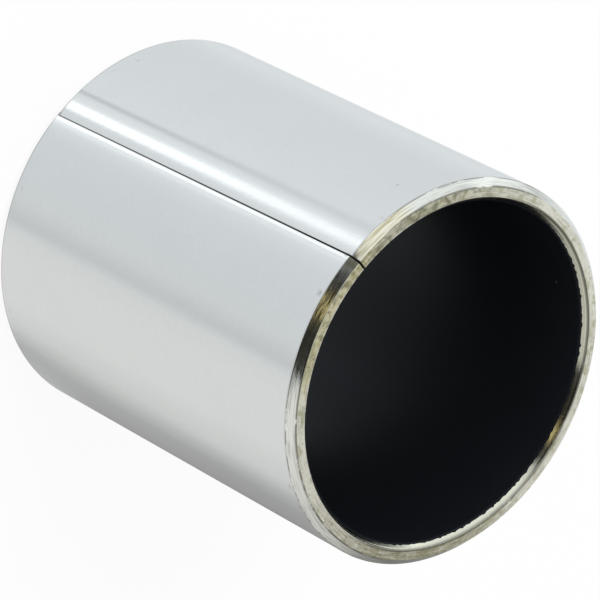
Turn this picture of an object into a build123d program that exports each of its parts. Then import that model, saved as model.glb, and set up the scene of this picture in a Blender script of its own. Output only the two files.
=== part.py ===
from build123d import *
import math
import os

os.makedirs("parts", exist_ok=True)

# Wrapped composite bushing: a bonded strip of steel, bronze and black lining, bent round until its ends meet.
# It stands on one end. +Z is its axis, the origin is the middle of the lower end and -Y is the front.
# Lengths are in millimetres and angles in degrees.

# Size of the finished bushing
bore_diameter = 30.0
length = 40.0

# Layers of the strip, from the bore outwards
lining_thickness = 0.03
bronze_thickness = 0.3
steel_thickness = 1.67

# Chamfers turned on both ends
inner_chamfer_depth = 0.5
inner_chamfer_length = 0.6
outer_chamfer_depth = 0.6
outer_chamfer_length = 0.7

# Butt joint: its place, counted from the front towards +X, its gap at each end and how far it runs out of true
seam_turn = -16.0
seam_gap_top = 0.18
seam_gap_bottom = 0.10
seam_drift = 0.45

# Edge of the strip that rolls over beside the joint, on the outside of the steel only
lip_width = 3.4
lip_drop = 0.2

# Spare length by which a cutting tool runs past the wall
overrun = 1.0

# Radii of the layers' faces
bore_radius = bore_diameter / 2
bronze_radius = bore_radius + lining_thickness
steel_radius = bronze_radius + bronze_thickness
outer_radius = steel_radius + steel_thickness

# Radii where the flat end face starts and stops
face_inner_radius = bore_radius + inner_chamfer_depth
face_outer_radius = outer_radius - outer_chamfer_depth

# Direction of the joint in the plan
front = -90.0
seam_direction = front + seam_turn


def end_drop(radius):
    """How far the two chamfers set the end back at this radius."""
    inner = max(0.0, face_inner_radius - radius) * inner_chamfer_length / inner_chamfer_depth
    outer = max(0.0, radius - face_outer_radius) * outer_chamfer_length / outer_chamfer_depth
    return inner + outer


def layer_ring(inner, outer):
    """Closed ring of one layer, turned from its profile, with the chamfers where they cross it."""
    corners = [r for r in (face_inner_radius, face_outer_radius) if inner < r < outer]
    radii = [inner, *corners, outer]
    lower = [(r, end_drop(r)) for r in radii]
    upper = [(r, length - end_drop(r)) for r in reversed(radii)]
    profile = make_face(Polyline(*lower, *upper, close=True))
    return revolve(Plane.XZ * profile, axis=Axis.Z)


def on_seam(corners):
    """Prism from the axis out through the wall, over corners given as distance along the wall and height."""
    radial = Vector(1, 0, 0).rotate(Axis.Z, seam_direction)
    tangent = Vector(0, 1, 0).rotate(Axis.Z, seam_direction)
    outline = Plane(origin=(0, 0, 0), x_dir=tangent, z_dir=radial) * make_face(Polyline(*corners, close=True))
    return extrude(outline, amount=outer_radius + overrun, dir=radial)


def seam_middle(height):
    """Where the joint's middle line lies along the wall at this height."""
    return seam_drift * (0.5 - height / length)


def seam_gap(height):
    """Width of the joint at this height."""
    return seam_gap_bottom + (seam_gap_top - seam_gap_bottom) * height / length


def seam_slot():
    """The gap between the strip's two ends: slightly wedge-shaped and slightly out of true."""
    low, high = -overrun, length + overrun
    left = [(seam_middle(z) - seam_gap(z) / 2, z) for z in (high, low)]
    right = [(seam_middle(z) + seam_gap(z) / 2, z) for z in (low, high)]
    return on_seam(left + right)


def lip_relief():
    """Metal that the rolled edge lacks: outside an arc that leaves the outer face at a tangent and falls
    by lip_drop at the joint."""
    sweep = math.degrees(lip_width / outer_radius)
    edge_x = (outer_radius - lip_drop) * math.cos(math.radians(sweep))
    reach = (outer_radius - lip_drop) ** 2 - 2 * edge_x * outer_radius + outer_radius**2
    lip_radius = reach / (2 * (outer_radius - edge_x))
    span = 1.5 * sweep
    clear = outer_radius + overrun
    wedge = make_face(
        Polyline(
            (0, 0),
            (clear, 0),
            (clear, clear * math.tan(math.radians(span))),
            close=True,
        )
    )
    bend = Pos(outer_radius - lip_radius, 0) * Circle(lip_radius)
    tool = extrude(wedge - bend, amount=length)
    return tool.rotate(Axis.Z, seam_direction - sweep)


def beyond_seam():
    """Space on the far side of the joint, which the rolled edge doesn't reach."""
    low, high = -overrun, length + overrun
    clear = outer_radius
    return on_seam([(seam_middle(high), high), (seam_middle(low), low), (clear, low), (clear, high)])


slot = seam_slot()
sliding_lining = layer_ring(bore_radius, bronze_radius) - slot
bronze_interlayer = layer_ring(bronze_radius, steel_radius) - slot
steel_backing = layer_ring(steel_radius, outer_radius) - slot - (lip_relief() - beyond_seam())

export_step(steel_backing, "parts/steel_backing.step")
export_step(bronze_interlayer, "parts/bronze_interlayer.step")
export_step(sliding_lining, "parts/sliding_lining.step")
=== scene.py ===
"""Looks of a wrapped composite bushing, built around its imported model.

The bushing stands on one end: +Z is its axis and -Y is its front. Lengths are in metres. A turn is an angle
round the axis, counted from the front towards +X.
"""

import math

import bpy
from mathutils import Matrix, Vector


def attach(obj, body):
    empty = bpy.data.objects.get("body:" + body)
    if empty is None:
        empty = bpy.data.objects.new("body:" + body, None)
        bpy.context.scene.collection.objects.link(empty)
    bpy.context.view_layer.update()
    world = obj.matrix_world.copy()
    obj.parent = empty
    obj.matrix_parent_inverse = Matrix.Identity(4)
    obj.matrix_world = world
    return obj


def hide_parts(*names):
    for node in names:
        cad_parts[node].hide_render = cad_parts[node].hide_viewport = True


bl_info = {
    "name": "Wrapped Bushing",
    "version": (1, 0, 0),
    "blender": (4, 5, 0),
    "location": "3D View > Sidebar > Bushing",
    "description": "Dresses a wrapped composite bushing and sets up its studio",
    "category": "Object",
}

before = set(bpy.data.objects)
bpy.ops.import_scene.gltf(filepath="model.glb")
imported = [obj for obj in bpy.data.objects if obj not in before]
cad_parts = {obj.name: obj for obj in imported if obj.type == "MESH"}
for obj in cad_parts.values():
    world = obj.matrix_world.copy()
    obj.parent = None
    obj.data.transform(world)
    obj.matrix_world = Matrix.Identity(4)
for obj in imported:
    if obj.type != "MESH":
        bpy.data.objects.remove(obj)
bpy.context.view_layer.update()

MM = 0.001
FULL_TURN = 2 * math.pi

# How near two measures of the frame count as the same
SAME = 0.002 * MM

# Distance between the rows of points on a chamfer
CHAMFER_ROW = 0.16 * MM

# How far a rounded point may lie off the inner chamfer and still take its finish
CHAMFER_SLACK = 20 * SAME

# How strongly the strip's rings of points crowd towards the joint: 0 is evenly spaced
BUNCHING = 0.9

# Seed of the teeth along the lining's torn edge, and the size of the smallest beside the largest
TOOTH_SEED = 7
SMALLEST_TOOTH = 0.15


# Sizes read from the frame


def node_points(node):
    """Corners of a CAD layer as (radius, height)."""
    return [(math.hypot(v.co.x, v.co.y), v.co.z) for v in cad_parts[node].data.vertices]


def layer_radii(node):
    """Inner and outer radius of a CAD layer."""
    radii = [radius for radius, height in node_points(node)]
    return min(radii), max(radii)


class Wall:
    """Section of the bushing's wall: the faces of its layers and the chamfers at its ends."""

    def __init__(self):
        steel = node_points("steel_backing")
        self.length = max(height for radius, height in steel)
        end_radii = [radius for radius, height in steel if self.length - height < SAME]
        self.face_inner, self.face_outer = min(end_radii), max(end_radii)
        self.bore, self.lining_outer = layer_radii("sliding_lining")
        self.bronze_inner, self.bronze_outer = layer_radii("bronze_interlayer")
        self.steel_inner, self.outer = layer_radii("steel_backing")
        self.outer_chamfer = min(height for radius, height in steel if self.outer - radius < SAME)
        lining = node_points("sliding_lining")
        self.inner_chamfer = min(height for radius, height in lining if radius - self.bore < SAME)

    def end_drop(self, radius):
        """How far the two chamfers set the end back at this radius."""
        inner = max(0.0, self.face_inner - radius) / (self.face_inner - self.bore) * self.inner_chamfer
        outer = max(0.0, radius - self.face_outer) / (self.outer - self.face_outer) * self.outer_chamfer
        return inner + outer


WALL = Wall()


# Settings that a user would change


def length_setting(name, description, default):
    """A length that a user can change."""
    return bpy.props.FloatProperty(
        name=name,
        description=description,
        default=default,
        unit="LENGTH",
        precision=5,
    )


def angle_setting(name, description, degrees):
    """An angle that a user can change."""
    return bpy.props.FloatProperty(
        name=name,
        description=description,
        default=math.radians(degrees),
        subtype="ANGLE",
    )


def count_setting(name, description, default, least):
    """A whole number that a user can change."""
    return bpy.props.IntProperty(name=name, description=description, default=default, min=least)


def colour_setting(name, description, default):
    """A colour that a user can change."""
    return bpy.props.FloatVectorProperty(
        name=name,
        description=description,
        default=default,
        subtype="COLOR",
    )


class BushingSizes(bpy.types.PropertyGroup):
    """Sizes of the strip's joint and of its edges."""

    joint_turn: angle_setting(
        "Joint turn", "Where the strip's two ends meet, counted from the front towards +X", -16.0
    )
    joint_gap_top: length_setting(
        "Gap at the top", "Width of the joint at the upper end", 0.18 * MM
    )
    joint_gap_bottom: length_setting(
        "Gap at the bottom", "Width of the joint at the lower end", 0.10 * MM
    )
    joint_drift: length_setting(
        "Joint drift", "How far the joint runs out of true over the whole length", 0.45 * MM
    )
    lip_width: length_setting(
        "Rolled edge width", "Width of the rolled edge on one side of the joint", 3.4 * MM
    )
    lip_drop: length_setting(
        "Rolled edge drop", "How low the rolled edge lies at the joint", 0.2 * MM
    )
    start_lip_width: length_setting(
        "Facing edge width", "Width of the slight fall on the other side of the joint", 0.33 * MM
    )
    start_lip_tilt: angle_setting(
        "Facing edge tilt", "How steeply the other side falls at the joint", 3.5
    )
    edge_radius: length_setting(
        "Edge rounding", "Rounding of the outer edges and of the strip's ends", 0.04 * MM
    )
    inner_edge_radius: length_setting(
        "Inner edge rounding", "Rounding between the flat end and the inner chamfer", 0.07 * MM
    )
    outer_edge_radius: length_setting(
        "Outer edge rounding", "Rounding between the flat end and the outer chamfer", 0.06 * MM
    )
    torn_height: length_setting(
        "Torn edge height", "How far the lining's torn edge laps onto the inner chamfer", 0.12 * MM
    )
    tooth_height: length_setting(
        "Tooth height", "How far the largest teeth of the torn edge stand out", 0.13 * MM
    )
    tooth_count: count_setting("Teeth", "Number of teeth round the lining's torn edge", 110, 3)
    segments: count_setting("Segments", "Divisions of the strip round the axis", 720, 24)


class BushingFinish(bpy.types.PropertyGroup):
    """Colours of the bushing's metals and of its lining."""

    plating: colour_setting(
        "Plating", "Colour of the bright plating on the outside", (0.80, 0.81, 0.81)
    )
    turned: colour_setting(
        "Turned steel", "Colour of the chamfers", (0.83, 0.83, 0.78)
    )
    # The flat ends are mixed by turn between the next two colours, for their tarnished patches and for a
    # painted sheen, bright on some sides and dim on others
    end_face: colour_setting(
        "End faces", "Colour of the flat ends where they are clean", (0.87, 0.84, 0.73)
    )
    tarnish_and_painted_shade: colour_setting(
        "Tarnish and painted shade", "Colour of the flat ends where they are dull", (0.34, 0.315, 0.205)
    )
    # Dark colour of the pits, and of the painted shade along the turned edges and the painted dark reflection
    # past the joint
    pit_dark_and_painted_shade: colour_setting(
        "Pits and painted shade", "Colour of the pits and of the lines along the turned edges", (0.10, 0.09, 0.06)
    )
    bronze: colour_setting(
        "Bronze", "Colour of the bronze layer where the chamfer cuts it", (0.84, 0.82, 0.68)
    )
    lining: colour_setting(
        "Lining", "Colour of the black sliding layer", (0.0062, 0.0070, 0.0088)
    )


# Helpers for node trees


def add_node(tree, kind, inputs=None, **settings):
    """Adds a node, sets its properties, and gives its inputs values or links."""
    node = tree.nodes.new(kind)
    for name, value in settings.items():
        setattr(node, name, value)
    for key, value in (inputs or {}).items():
        join(tree, value, node.inputs[key])
    return node


def join(tree, value, socket):
    """Links a socket to another, or sets it to a plain value."""
    if isinstance(value, bpy.types.NodeSocket):
        tree.links.new(value, socket)
    else:
        socket.default_value = value


def calc(tree, operation, *terms, clamp=False):
    """Result of a Math node."""
    node = tree.nodes.new("ShaderNodeMath")
    node.operation = operation
    node.use_clamp = clamp
    for term, socket in zip(terms, node.inputs):
        join(tree, term, socket)
    return node.outputs[0]


def window(tree, value, low, high, softness):
    """1 where the value lies between low and high, and 0 outside, over soft edges."""
    rise = add_node(
        tree,
        "ShaderNodeMapRange",
        {"Value": value, "From Min": low - softness, "From Max": low + softness},
        interpolation_type="SMOOTHSTEP",
    )
    fall = add_node(
        tree,
        "ShaderNodeMapRange",
        {"Value": value, "From Min": high - softness, "From Max": high + softness},
        interpolation_type="SMOOTHSTEP",
    )
    return calc(tree, "SUBTRACT", rise.outputs["Result"], fall.outputs["Result"])


def mix_colour(tree, factor, first, second, blend="MIX"):
    """Colour between two others."""
    node = tree.nodes.new("ShaderNodeMix")
    node.data_type = "RGBA"
    node.blend_type = blend
    for value, name in ((factor, "Factor_Float"), (first, "A_Color"), (second, "B_Color")):
        socket = next(s for s in node.inputs if s.identifier == name)
        join(tree, (*value, 1.0) if isinstance(value, tuple) and len(value) == 3 else value, socket)
    return next(s for s in node.outputs if s.identifier == "Result_Color")


def mix_value(tree, factor, first, second):
    """Value between two others."""
    inputs = {"Factor": factor, "A": first, "B": second}
    return add_node(tree, "ShaderNodeMix", inputs, data_type="FLOAT").outputs["Result"]


def noise(tree, place, scale, detail):
    """Cloudy value that changes over the surface."""
    inputs = {"Vector": place, "Scale": scale, "Detail": detail}
    return add_node(tree, "ShaderNodeTexNoise", inputs).outputs["Fac"]


def object_place(tree):
    """Where a point lies on its piece."""
    return tree.nodes.new("ShaderNodeTexCoord").outputs["Object"]


def scaled(colour, factor):
    """A colour made darker or lighter by one factor."""
    return tuple(factor * part for part in colour)


def add_sockets(tree, direction, sockets):
    """Names a group's inputs or outputs: (name, socket type, default)."""
    for name, kind, default in sockets:
        socket = tree.interface.new_socket(name, in_out=direction, socket_type=kind)
        if default is not None:
            socket.default_value = default


# The strip's section


def rounded_corner(before, corner, after, radius, steps):
    """Arc that rounds one corner, with a support point on each side that keeps its shading local."""
    to_before = (before - corner).normalized()
    to_after = (after - corner).normalized()
    half = to_before.angle(to_after) / 2
    reach = radius / math.tan(half)
    middle = corner + (to_before + to_after).normalized() * radius / math.sin(half)
    first = corner + to_before * reach - middle
    last = corner + to_after * reach - middle
    sweep = math.pi - 2 * half
    arc = []
    for i in range(steps + 1):
        from_first = first * math.sin(sweep * (1 - i / steps))
        from_last = last * math.sin(sweep * i / steps)
        arc.append(middle + (from_first + from_last) / math.sin(sweep))
    return [corner + to_before * 2 * reach, *arc, corner + to_after * 2 * reach]


def layer_corners(inner, outer, sizes):
    """Corners of one layer's section as (radius, height, rounding), up the outside and down the inside."""
    hidden = 0.1 * sizes.edge_radius
    face_edges = ((WALL.face_inner, sizes.inner_edge_radius), (WALL.face_outer, sizes.outer_edge_radius))
    turned = [(r, size) for r, size in face_edges if inner < r < outer]
    bare_inner = sizes.edge_radius if inner == WALL.bore else hidden
    bare_outer = sizes.edge_radius if outer == WALL.outer else hidden
    radii = [(inner, bare_inner), *turned, (outer, bare_outer)]
    lower = [(r, WALL.end_drop(r), size) for r, size in radii]
    upper = [(r, WALL.length - WALL.end_drop(r), size) for r, size in reversed(radii)]
    return lower + upper


def section_loop(corners, steps, row_height):
    """Closed loop of section points, with rounded corners and with rows along its straight runs."""
    places = [Vector((r, z)) for r, z, size in corners]
    loop = []
    for i, (r, z, size) in enumerate(corners):
        arc = rounded_corner(places[i - 1], places[i], places[(i + 1) % len(places)], size, steps)
        if loop:
            loop += rows_between(loop[-1], arc[0], row_height)
        loop += arc
    return loop + rows_between(loop[-1], loop[0], row_height)


def rows_between(start, end, row_height):
    """Points that divide a run evenly, far apart on the long faces and close on the chamfers."""
    run = (end - start).length
    count = int(run / row_height) or int(run / CHAMFER_ROW)
    return [start.lerp(end, i / (count + 1)) for i in range(1, count + 1)]


def finish_zone(radius, height):
    """0 on the long faces, 1 on the chamfers and 2 on the flat ends."""
    from_end = min(height, WALL.length - height)
    if from_end < SAME:
        return 2.0
    on_outer = radius > WALL.face_outer and from_end < WALL.outer_chamfer - SAME
    on_inner = radius < WALL.face_inner and from_end <= WALL.end_drop(radius) + CHAMFER_SLACK
    return 1.0 if on_outer or on_inner else 0.0


def section_mesh(name, loop):
    """Mesh of the section's outline in the XZ plane, with its inward direction and its finish zone."""
    count = len(loop)
    mesh = bpy.data.meshes.new(name)
    mesh.from_pydata([(p.x, 0, p.y) for p in loop], [(i, (i + 1) % count) for i in range(count)], [])
    runs = [(loop[(i + 1) % count] - loop[i - 1]).normalized() for i in range(count)]
    inward = [part for run in runs for part in (-run.y, 0, run.x)]
    fill_attribute(mesh, "inward", "FLOAT_VECTOR", "vector", inward)
    fill_attribute(mesh, "zone", "FLOAT", "value", [finish_zone(p.x, p.y) for p in loop])
    return mesh


def fill_attribute(mesh, name, kind, field, values):
    """Adds a point attribute and fills it at once, because adding another one moves its data."""
    attribute = mesh.attributes.new(name, kind, "POINT")
    attribute.data.foreach_set(field, values)


# The tree that wraps a section into a bushing


WRAP_INPUTS = [
    ("Section", "NodeSocketGeometry", None),
    ("Segments", "NodeSocketInt", 720),
    ("Bunching", "NodeSocketFloat", BUNCHING),
    ("Length", "NodeSocketFloat", WALL.length),
    ("Joint Turn", "NodeSocketFloat", 0.0),
    ("Gap Top", "NodeSocketFloat", 0.0),
    ("Gap Bottom", "NodeSocketFloat", 0.0),
    ("Joint Drift", "NodeSocketFloat", 0.0),
    ("Edge Radius", "NodeSocketFloat", 0.0),
    ("Outer Radius", "NodeSocketFloat", WALL.outer),
    ("Face Radius", "NodeSocketFloat", WALL.face_outer),
    ("Lip Radius", "NodeSocketFloat", WALL.outer),
    ("Lip Sweep", "NodeSocketFloat", 0.0),
    ("Start Lip Width", "NodeSocketFloat", 0.4 * MM),
    ("Start Lip Tilt", "NodeSocketFloat", 0.0),
    ("Torn Height", "NodeSocketFloat", 0.0),
    ("Tooth Height", "NodeSocketFloat", 0.0),
    ("Teeth", "NodeSocketInt", 88),
    ("Chamfer Slope", "NodeSocketFloat", 1.0),
    ("Seed", "NodeSocketInt", 0),
    ("Long Faces", "NodeSocketMaterial", None),
    ("Chamfers", "NodeSocketMaterial", None),
    ("Ends", "NodeSocketMaterial", None),
]


def named(tree, name, kind):
    """A named attribute as a field."""
    node = add_node(tree, "GeometryNodeInputNamedAttribute", {"Name": name}, data_type=kind)
    return node.outputs["Attribute"]


def stored(tree, geometry, name, kind, value):
    """Geometry with a value stored on its points."""
    node = add_node(
        tree,
        "GeometryNodeStoreNamedAttribute",
        {"Geometry": geometry, "Name": name, "Value": value},
        data_type=kind,
        domain="POINT",
    )
    return node.outputs["Geometry"]


def swept_section(tree, given):
    """The section swept once over a plain path, which carries how far round each ring of points lies."""
    place = add_node(tree, "GeometryNodeInputPosition").outputs[0]
    section = stored(tree, given["Section"], "section", "FLOAT_VECTOR", place)
    profile = add_node(tree, "GeometryNodeMeshToCurve", {"Mesh": section})
    line = add_node(tree, "GeometryNodeCurvePrimitiveLine", {"Start": (0, 0, 0), "End": (0, 1, 0)})
    count = calc(tree, "ADD", given["Segments"], 1)
    path = add_node(tree, "GeometryNodeResampleCurve", {"Curve": line.outputs["Curve"], "Count": count})
    share = add_node(tree, "GeometryNodeSplineParameter").outputs["Factor"]
    path = stored(tree, path.outputs["Curve"], "share", "FLOAT", share)
    swept = add_node(
        tree,
        "GeometryNodeCurveToMesh",
        {"Curve": path, "Profile Curve": profile.outputs["Curve"], "Fill Caps": True},
    )
    return swept.outputs["Mesh"]


def tooth_shape(tree, given, turn, count_share, sharpness):
    """Height of one row of teeth at this turn, from 0 to 1: pointed and of uneven size."""
    count = calc(tree, "MULTIPLY", given["Teeth"], count_share)
    place = calc(tree, "MULTIPLY", calc(tree, "DIVIDE", turn, FULL_TURN), count)
    sway = add_node(
        tree,
        "ShaderNodeTexNoise",
        {"W": place, "Scale": 0.7, "Detail": 1.0},
        noise_dimensions="1D",
    ).outputs[0]
    swayed = calc(tree, "ADD", place, sway)
    index = calc(tree, "FLOOR", swayed)
    share = calc(tree, "FRACT", swayed)
    size = add_node(
        tree,
        "FunctionNodeRandomValue",
        {"Min": SMALLEST_TOOTH, "Max": 1.0, "ID": index, "Seed": given["Seed"]},
        data_type="FLOAT",
    )
    random_size = next(s for s in size.outputs if s.enabled)
    from_tip = calc(tree, "ABSOLUTE", calc(tree, "MULTIPLY_ADD", share, 2.0, -1.0))
    slope = calc(tree, "SUBTRACT", 1.0, from_tip)
    return calc(tree, "MULTIPLY", calc(tree, "POWER", slope, sharpness), random_size)


def wrap_rule(tree, given):
    """Where each point of the strip lies once it is bent round, with its joint, rolled edge and torn edge."""
    section = add_node(tree, "ShaderNodeSeparateXYZ", {"Vector": named(tree, "section", "FLOAT_VECTOR")})
    inward = add_node(tree, "ShaderNodeSeparateXYZ", {"Vector": named(tree, "inward", "FLOAT_VECTOR")})
    share = named(tree, "share", "FLOAT")
    tongue = named(tree, "tongue", "FLOAT")
    radius, height = section.outputs["X"], section.outputs["Z"]

    # Points lie closer together near the joint
    wave = calc(tree, "SINE", calc(tree, "MULTIPLY", share, FULL_TURN))
    pull = calc(tree, "DIVIDE", calc(tree, "MULTIPLY", wave, given["Bunching"]), FULL_TURN)
    place = calc(tree, "SUBTRACT", share, pull)

    # The joint's middle line and half its gap at this height
    level = calc(tree, "DIVIDE", height, given["Length"])
    middle = calc(tree, "MULTIPLY", given["Joint Drift"], calc(tree, "SUBTRACT", 0.5, level))
    gap_growth = calc(tree, "SUBTRACT", given["Gap Top"], given["Gap Bottom"])
    gap = calc(tree, "MULTIPLY_ADD", gap_growth, level, given["Gap Bottom"])
    half_gap = calc(tree, "MULTIPLY", gap, 0.5)
    start_offset = calc(tree, "DIVIDE", calc(tree, "ADD", middle, half_gap), radius)
    end_offset = calc(tree, "DIVIDE", calc(tree, "SUBTRACT", middle, half_gap), radius)
    start = calc(tree, "ADD", given["Joint Turn"], start_offset)
    last_turn = calc(tree, "ADD", given["Joint Turn"], FULL_TURN)
    end = calc(tree, "ADD", last_turn, end_offset)
    turn = calc(tree, "MULTIPLY_ADD", calc(tree, "SUBTRACT", end, start), place, start)

    # The strip's ends are rounded over
    to_start = calc(tree, "SUBTRACT", turn, start)
    to_end = calc(tree, "SUBTRACT", end, turn)
    to_joint = calc(tree, "MULTIPLY", calc(tree, "MINIMUM", to_start, to_end), radius)
    depth = calc(tree, "SUBTRACT", 1.0, calc(tree, "DIVIDE", to_joint, given["Edge Radius"]), clamp=True)
    across_edge = calc(tree, "SUBTRACT", 1.0, calc(tree, "POWER", depth, 2.0))
    slack = calc(tree, "SUBTRACT", 1.0, calc(tree, "SQRT", across_edge))
    sink = calc(tree, "MULTIPLY", slack, given["Edge Radius"])

    # The rolled edge follows the joint, on an arc that leaves the outer face at a tangent
    drift_turn = calc(tree, "DIVIDE", middle, given["Outer Radius"])
    lip_start = calc(tree, "SUBTRACT", calc(tree, "ADD", last_turn, drift_turn), given["Lip Sweep"])
    past_lip = calc(tree, "MAXIMUM", calc(tree, "SUBTRACT", turn, lip_start), 0.0)
    offset = calc(tree, "SUBTRACT", given["Outer Radius"], given["Lip Radius"])
    across = calc(tree, "MULTIPLY", offset, calc(tree, "SINE", past_lip))
    lip_square = calc(tree, "POWER", given["Lip Radius"], 2.0)
    chord = calc(tree, "SQRT", calc(tree, "SUBTRACT", lip_square, calc(tree, "POWER", across, 2.0)))
    lip_reach = calc(tree, "MULTIPLY_ADD", offset, calc(tree, "COSINE", past_lip), chord)
    end_fall = calc(tree, "SUBTRACT", given["Outer Radius"], lip_reach)

    # The other side of the joint falls slightly towards it
    from_start = calc(tree, "MULTIPLY", to_start, given["Outer Radius"])
    inside_lip = calc(tree, "MAXIMUM", calc(tree, "SUBTRACT", given["Start Lip Width"], from_start), 0.0)
    start_fall = calc(tree, "DIVIDE", calc(tree, "POWER", inside_lip, 2.0), given["Start Lip Width"])
    start_fall = calc(tree, "MULTIPLY", calc(tree, "MULTIPLY", start_fall, 0.5), given["Start Lip Tilt"])

    # Both lower the outer face, and the outer chamfer less and less towards the flat end
    fall = calc(tree, "MAXIMUM", end_fall, start_fall)
    past_face = calc(tree, "SUBTRACT", radius, given["Face Radius"])
    chamfer_width = calc(tree, "SUBTRACT", given["Outer Radius"], given["Face Radius"])
    fall_share = calc(tree, "DIVIDE", past_face, chamfer_width, clamp=True)
    rolled = calc(tree, "SUBTRACT", radius, calc(tree, "MULTIPLY", fall, fall_share))

    # The lining's torn edge laps over the inner chamfer, in large teeth with small ones between
    large = tooth_shape(tree, given, turn, count_share=1.0, sharpness=2.2)
    small = tooth_shape(tree, given, turn, count_share=2.9, sharpness=1.5)
    teeth = calc(tree, "ADD", calc(tree, "MULTIPLY", large, 0.7), calc(tree, "MULTIPLY", small, 0.3))
    torn = calc(tree, "MULTIPLY_ADD", given["Tooth Height"], teeth, given["Torn Height"])
    lap = calc(tree, "MULTIPLY", calc(tree, "ABSOLUTE", tongue), torn)
    rise = calc(tree, "MULTIPLY", calc(tree, "MULTIPLY", tongue, torn), given["Chamfer Slope"])

    sunk_radius = calc(tree, "MULTIPLY_ADD", inward.outputs["X"], sink, rolled)
    sunk_height = calc(tree, "MULTIPLY_ADD", inward.outputs["Z"], sink, height)
    final_radius = calc(tree, "ADD", sunk_radius, lap)
    final_height = calc(tree, "ADD", sunk_height, rise)
    x = calc(tree, "MULTIPLY", final_radius, calc(tree, "SINE", turn))
    y = calc(tree, "MULTIPLY", final_radius, calc(tree, "MULTIPLY", calc(tree, "COSINE", turn), -1.0))
    return add_node(tree, "ShaderNodeCombineXYZ", {"X": x, "Y": y, "Z": final_height}).outputs["Vector"]


def wrap_tree():
    """Geometry nodes that bend a section into a bushing with an open butt joint."""
    tree = bpy.data.node_groups.get("Wrapped strip")
    if tree:
        return tree
    tree = bpy.data.node_groups.new("Wrapped strip", "GeometryNodeTree")
    add_sockets(tree, "INPUT", WRAP_INPUTS)
    add_sockets(tree, "OUTPUT", [("Geometry", "NodeSocketGeometry", None)])
    given = tree.nodes.new("NodeGroupInput").outputs
    mesh = swept_section(tree, given)
    bent = add_node(tree, "GeometryNodeSetPosition", {"Geometry": mesh, "Position": wrap_rule(tree, given)})
    outward = add_node(tree, "GeometryNodeFlipFaces", {"Mesh": bent.outputs["Geometry"]})
    smooth = add_node(tree, "GeometryNodeSetShadeSmooth", {"Geometry": outward.outputs["Mesh"]})
    solid = add_node(tree, "GeometryNodeRealizeInstances", {"Geometry": smooth.outputs["Geometry"]})
    zone = named(tree, "zone", "FLOAT")
    chamfer = calc(tree, "GREATER_THAN", zone, 0.5)
    end = calc(tree, "GREATER_THAN", zone, 1.5)
    geometry = solid.outputs["Geometry"]
    for selection, material in ((None, "Long Faces"), (chamfer, "Chamfers"), (end, "Ends")):
        inputs = {"Geometry": geometry, "Material": given[material]}
        if selection:
            inputs["Selection"] = selection
        geometry = add_node(tree, "GeometryNodeSetMaterial", inputs).outputs["Geometry"]
    tree.links.new(geometry, tree.nodes.new("NodeGroupOutput").inputs["Geometry"])
    return tree


def rolled_edge(sizes):
    """Radius of the rolled edge's arc, and the turn over which it runs."""
    sweep = sizes.lip_width / WALL.outer
    low = WALL.outer - sizes.lip_drop
    edge = low * math.cos(sweep)
    reach = low**2 - 2 * edge * WALL.outer + WALL.outer**2
    return reach / (2 * (WALL.outer - edge)), sweep


def wrapped_piece(name, section, settings):
    """Plain mesh object of a section bent round the axis."""
    piece = bpy.data.objects.new(name, section)
    bpy.context.scene.collection.objects.link(piece)
    tree = wrap_tree()
    modifier = piece.modifiers.new("Wrap", "NODES")
    modifier.node_group = tree
    for item in tree.interface.items_tree:
        if item.in_out == "INPUT" and item.name in settings:
            modifier[item.identifier] = settings[item.name]
    evaluated = piece.evaluated_get(bpy.context.evaluated_depsgraph_get())
    mesh = bpy.data.meshes.new_from_object(evaluated)
    piece.modifiers.clear()
    piece.data = mesh
    mesh.name = name
    for attribute in ("section", "inward", "share", "zone", "tongue"):
        if attribute in mesh.attributes:
            mesh.attributes.remove(mesh.attributes[attribute])
    if not mesh.polygons:
        raise RuntimeError(f"{name} came out empty")
    return piece


def wrap_settings(sizes, materials):
    """Values that every layer's wrap shares."""
    lip_radius, lip_sweep = rolled_edge(sizes)
    return {
        "Segments": sizes.segments,
        "Length": WALL.length,
        "Joint Turn": sizes.joint_turn,
        "Gap Top": sizes.joint_gap_top,
        "Gap Bottom": sizes.joint_gap_bottom,
        "Joint Drift": sizes.joint_drift,
        "Edge Radius": sizes.edge_radius,
        "Outer Radius": WALL.outer,
        "Face Radius": WALL.face_outer,
        "Lip Radius": lip_radius,
        "Lip Sweep": lip_sweep,
        "Start Lip Width": sizes.start_lip_width,
        "Start Lip Tilt": sizes.start_lip_tilt,
        "Long Faces": materials[0],
        "Chamfers": materials[1],
        "Ends": materials[2],
    }


# Finishes


def shader_group(name, inputs, outputs):
    """A new shader group with named sockets, and what its inputs give."""
    tree = bpy.data.node_groups.new(name, "ShaderNodeTree")
    add_sockets(tree, "INPUT", [("Vector", "NodeSocketVector", None)])
    add_sockets(tree, "INPUT", [(label, "NodeSocketFloat", value) for label, value in inputs.items()])
    add_sockets(tree, "OUTPUT", [(label, "NodeSocketFloat", None) for label in outputs])
    return tree, tree.nodes.new("NodeGroupInput").outputs


def hand_out(tree, values):
    """Links a group's results to its named outputs."""
    ending = tree.nodes.new("NodeGroupOutput")
    for label, value in values.items():
        tree.links.new(value, ending.inputs[label])
    return tree


def round_axis():
    """Radius of a point, and its turn in degrees."""
    tree, given = shader_group("Round the axis", {}, ["Radius", "Turn"])
    place = add_node(tree, "ShaderNodeSeparateXYZ", {"Vector": given["Vector"]}).outputs
    x_part = calc(tree, "MULTIPLY", place["X"], place["X"])
    radius = calc(tree, "SQRT", calc(tree, "MULTIPLY_ADD", place["Y"], place["Y"], x_part))
    front = calc(tree, "MULTIPLY", place["Y"], -1.0)
    turn = calc(tree, "DEGREES", calc(tree, "ARCTAN2", place["X"], front))
    return hand_out(tree, {"Radius": radius, "Turn": turn})


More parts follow.
